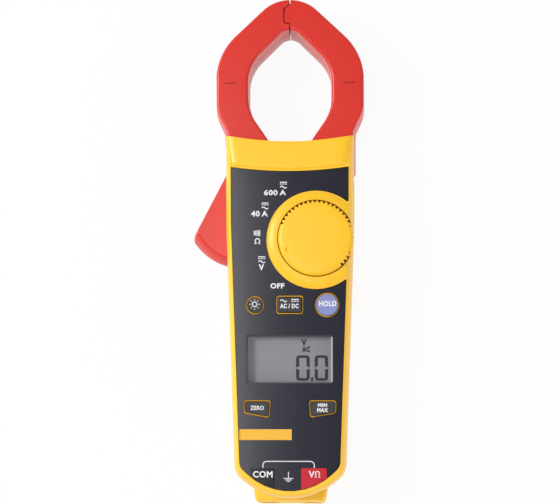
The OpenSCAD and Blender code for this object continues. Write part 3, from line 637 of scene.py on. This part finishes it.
lcd_top, segment_film = 30.0, 0.03
segment_dark = moulded("segment_dark", (0.02, 0.02, 0.025), (1.1, 1.1, 1.1), rough=0.4)
segments = bmesh.new()
digit_low, digit_high = -56.74, -45.57
digit_middle = (digit_low + digit_high) / 2
side_wide, end_wide, digit_corner = 1.42, 1.15, 1.5
outer_gap, inner_gap = 0.2, 0.85
for x0, x1 in ((2.71, 8.73), (10.91, 16.86)):
    for end in (digit_low, digit_high):
        way = 1 if end > digit_middle else -1
        near = digit_middle + way * outer_gap
        inside = digit_middle + way * inner_gap
        turn = end - way * end_wide
        loop = (
            (x0, near), (x0, end), (x1, end), (x1, near), (x1 - side_wide, inside),
            (x1 - side_wide, turn), (x0 + side_wide, turn), (x0 + side_wide, inside),
        )
        corners = [segments.verts.new((x, y, 0)) for x, y in loop]
        segments.faces.new(corners)
        bmesh.ops.bevel(
            segments, geom=[corners[1], corners[2]], offset=digit_corner, affect="VERTICES",
            segments=4, profile=0.5, material=-1,
        )
point_x, point_y, point_wide, point_high = 9.77, -56.2, 1.06, 1.89
bar(segments, point_x, point_y, point_wide, point_high)
words(segments, "V", 6.22, -39.85, 2.57, 2.96, weight=0.055)
words(segments, "AC", 7.08, -42.9, 3.58, 2.51, weight=0.075)
printed("lcd_segments", segments, lcd_top, segment_film, segment_dark, "case")

# Front panel: a dark plate moulded in smooth plastic and set into the front case, with openings
# for the display and for the collars of the keys.
panel_grey = moulded(
    "panel_grey", (0.017, 0.018, 0.029), (1.15, 1.15, 1.15), rough=0.16, depth=0.000002,
)
finish("front_panel", panel_grey, edge=0.00015)

# Dial legend: the signs of the five positions of the dial, screen-printed on the panel in white
# ink. They stand for two ranges of current, sound and resistance, voltage, and off.
panel_z, ink = 33.4, 0.04
white_ink = moulded("white_ink", (0.82, 0.82, 0.85), (0.95, 0.95, 0.95), rough=0.5)


def bow(art, x, y, radius, stroke, start, sweep):
    """Curved stroke about x, y, from start degrees through sweep degrees."""
    fewest, degrees_each = 4, 15
    lean = Matrix.Rotation(math.radians(start), 4, "Z")
    ends = [
        art.verts.new(Vector((x, y, 0)) + lean @ Vector((radius + side * stroke / 2, 0, 0)))
        for side in (-1, 1)
    ]
    bmesh.ops.spin(
        art, geom=[*ends, art.edges.new(ends)], cent=(x, y, 0), axis=(0, 0, 1),
        angle=math.radians(sweep), steps=max(fewest, sweep // degrees_each), use_merge=sweep == 360,
    )


def tilde(art, x, y, width, stroke):
    """Wave sign for alternating current."""
    half_sweep = 60
    radius = width / 4 / math.sin(math.radians(half_sweep))
    drop = radius * math.cos(math.radians(half_sweep))
    bow(art, x - width / 4, y - drop, radius, stroke, 90 - half_sweep, 2 * half_sweep)
    bow(art, x + width / 4, y + drop, radius, stroke, 270 - half_sweep, 2 * half_sweep)


def both_currents(art, x, y, width):
    """Line and dashes for direct current over the wave for alternating current."""
    line_up, dash_up, wave_down = 1.3, 0.5, 0.9
    line_stroke, dash_stroke, wave_stroke = 0.44, 0.42, 0.46
    dash_step, dash_share, wave_share = 0.37, 0.25, 0.92
    bar(art, x, y + line_up, width, line_stroke)
    for step in (-1, 0, 1):
        dash_x = x + step * width * dash_step
        bar(art, dash_x, y + dash_up, width * dash_share, dash_stroke)
    tilde(art, x, y - wave_down, width * wave_share, wave_stroke)


def ohm(art, x, y, width, height, stroke):
    """Resistance sign: an open ring on two feet."""
    inset, opening, foot_out, foot_share = 0.05, 60, 0.33, 0.34
    radius = width / 2 - stroke / 2 - inset
    ring_y = y + height / 2 - radius - stroke / 2
    bow(art, x, ring_y, radius, stroke, opening // 2 - 90, 360 - opening)
    foot_y = y - height / 2 + stroke / 2
    for side in (-1, 1):
        bar(art, x + side * width * foot_out, foot_y, width * foot_share, stroke)


legend = bmesh.new()
words(legend, "600 A", -6.52, 26.54, 9.87, 2.51, weight=0.036, gap=0.65)
both_currents(legend, -2.77, 29.84, 3.07)
words(legend, "40 A", -13.43, 17.1, 7.51, 2.6, weight=0.036, gap=0.65)
both_currents(legend, -10.94, 20.56, 3.0)
sound_x, sound_y, sound_r, sound_step, sound_line = -18.4, 8.49, 2.7, 0.62, 0.4
for step in range(5):
    start, sweep = step * 1.2 - 20, int(40 - step * 2.4)
    bow(legend, sound_x, sound_y, sound_r + step * sound_step, sound_line, start, sweep)
ohm(legend, -14.3, 4.9, 2.53, 2.62, 0.46)
both_currents(legend, -12.36, -3.42, 3.1)
words(legend, "V", -12.53, -6.8, 2.39, 2.7)
words(legend, "OFF", -5.47, -15.01, 6.14, 2.42)
printed("dial_legend", legend, panel_z, ink, white_ink, "case")

# Yellow bar: a plain band of colour on the left of the panel, above the jacks. It is
# screen-printed in yellow ink.
stripe_x, stripe_y, stripe_long, stripe_high = -10.72, -80.25, 23.1, 4.67
stripe = bmesh.new()
bar(stripe, stripe_x, stripe_y, stripe_long, stripe_high)
stripe_yellow = moulded("stripe_yellow", (0.9, 0.48, 0.03), (0.97, 0.95, 0.9), rough=0.45)
printed("panel_stripe", stripe, panel_z, ink, stripe_yellow, "case")

# Jack prints: a black and a red field above the jacks, cut to the round end of the panel, and over
# them the names of the jacks, a bracket between them and the earth sign in white ink.


def jack_field(left, far, top):
    """Colour field above a jack, cut to the round lower end of the panel."""
    panel_end_y, panel_end_r, field_corner, on_top = -77.5, 26.95, 0.6, 0.001
    field = bmesh.new()
    bmesh.ops.create_circle(
        field, cap_ends=True, segments=144, radius=panel_end_r,
        matrix=Matrix.Translation((0, panel_end_y, 0)),
    )
    for at, out in (
        ((left, 0, 0), (-1, 0, 0)), ((far, 0, 0), (1, 0, 0)), ((0, top, 0), (0, 1, 0)),
    ):
        bmesh.ops.bisect_plane(
            field, geom=field.verts[:] + field.edges[:] + field.faces[:], plane_co=at,
            plane_no=out, clear_outer=True,
        )
    bmesh.ops.bevel(
        field, geom=[v for v in field.verts if abs(v.co.y - top) < on_top], offset=field_corner,
        affect="VERTICES", segments=4, profile=0.5, material=-1,
    )
    return field


field_film, field_gloss = 0.03, 0.36
field_black = moulded(
    "field_black", (0.007, 0.007, 0.01), (1.15, 1.15, 1.15), rough=0.16, depth=0.000002,
    shine=field_gloss,
)
com_field = jack_field(left=-17.4, far=-6.5, top=-94.74)
printed("com_field", com_field, panel_z, field_film, field_black, "case")
field_red = moulded(
    "field_red", (0.6, 0.018, 0.035), (0.95, 0.9, 0.9), rough=0.2, depth=0.000002,
    shine=field_gloss,
)
volt_field = jack_field(left=4.9, far=16.08, top=-94.79)
printed("volt_field", volt_field, panel_z, field_film, field_red, "case")

jack_signs = bmesh.new()
words(jack_signs, "COM", -11.83, -97.43, 8.6, 2.87, weight=0.03)
words(jack_signs, "V", 9.5, -97.39, 2.6, 2.86, weight=0.026)
ohm(jack_signs, 12.06, -97.39, 2.4, 2.86, 0.45)
bracket_x, bracket_y, bracket_long, bracket_line = -0.55, -91.82, 19.06, 0.4
turn_r, leg_y, leg_long = 1.7, -94.1, 1.16
bar(jack_signs, bracket_x, bracket_y, bracket_long, bracket_line)
for side, start in ((-1, 90), (1, 0)):
    corner = bracket_x + side * bracket_long / 2
    bow(jack_signs, corner, bracket_y - turn_r, turn_r, bracket_line, start, 90)
    bar(jack_signs, corner + side * turn_r, leg_y, bracket_line, leg_long)
earth_x, stem_y, stem_line, stem_long, earth_line = -0.61, -97.7, 0.32, 2.66, 0.34
bar(jack_signs, earth_x, stem_y, stem_line, stem_long)
for width, y in ((4.24, -99.2), (2.7, -99.86), (1.2, -100.52)):
    bar(jack_signs, earth_x, y, width, earth_line)
sign_film = 0.07
printed("jack_legend", jack_signs, panel_z, sign_film, white_ink, "case")

# Keys: five caps moulded in soft rubber, four dark and the hold key violet. They rise through the
# collars, and a flange round the foot of each keeps it behind the front case.
key_dark = moulded("key_dark", (0.03, 0.03, 0.036), (1.15, 1.15, 1.15), rough=0.5)
key_violet = moulded("key_violet", (0.24, 0.27, 0.56), (0.95, 0.95, 0.97), rough=0.5)
for n, rubber in (
    ("light_button", key_dark), ("zero_button", key_dark), ("minmax_button", key_dark),
    ("hold_button", key_violet),
):
    finish(n, rubber, edge=0.00045)
finish("acdc_button", key_dark, edge=0.00045, clamp=False)

# Key legends: white signs and words printed on the tops of the keys. Each one goes down with its
# own key.
key_top = 34.5
sun_x, sun_y, sun_r, sun_line, ray_out, ray_r = -15.47, -23.21, 1.02, 0.44, 2.05, 0.26
sun = bmesh.new()
bow(sun, sun_x, sun_y, sun_r, sun_line, 0, 360)
for step in range(8):
    turn = math.radians(step * 45)
    ray_at = (sun_x + ray_out * math.cos(turn), sun_y + ray_out * math.sin(turn), 0)
    bmesh.ops.create_circle(
        sun, cap_ends=True, segments=16, radius=ray_r, matrix=Matrix.Translation(ray_at),
    )
printed("light_icon", sun, key_top, ink, white_ink, "light_key")
current = bmesh.new()
tilde(current, -2.7, -21.65, 2.78, 0.45)
direct_x, line_y, dash_y, direct_stroke = 2.34, -21.1, -21.9, 0.42
line_long, dash_long, dash_step = 3.17, 0.82, 1.16
bar(current, direct_x, line_y, line_long, direct_stroke)
for step in (-1, 0, 1):
    bar(current, direct_x + step * dash_step, dash_y, dash_long, direct_stroke)
words(current, "AC / DC", -0.17, -23.97, 8.19, 2.06)
printed("acdc_legend", current, key_top, ink, white_ink, "acdc_key")
hold = bmesh.new()
words(hold, "HOLD", 16.71, -22.94, 7.7, 2.5)
printed("hold_legend", hold, key_top, ink, white_ink, "hold_key")
zero = bmesh.new()
words(zero, "ZERO", -14.3, -68.58, 5.96, 1.87, weight=0.036)
printed("zero_legend", zero, key_top, ink, white_ink, "zero_key")
minmax = bmesh.new()
words(minmax, "MIN", 14.32, -67.36, 4.02, 1.57, weight=0.055)
words(minmax, "MAX", 14.36, -69.54, 4.81, 1.74, weight=0.055)
printed("minmax_legend", minmax, key_top, ink, white_ink, "minmax_key")

# Dial: a flat knob moulded in the yellow of the case, with a notched edge that stands out at the
# right. Its shaft goes through the front case to a milky rotor, whose three brass wipers sweep
# the board.
finish("dial_rotor", milky)
finish("dial_wipers", brass)
finish("dial_knob", case_yellow, edge=0.0002)
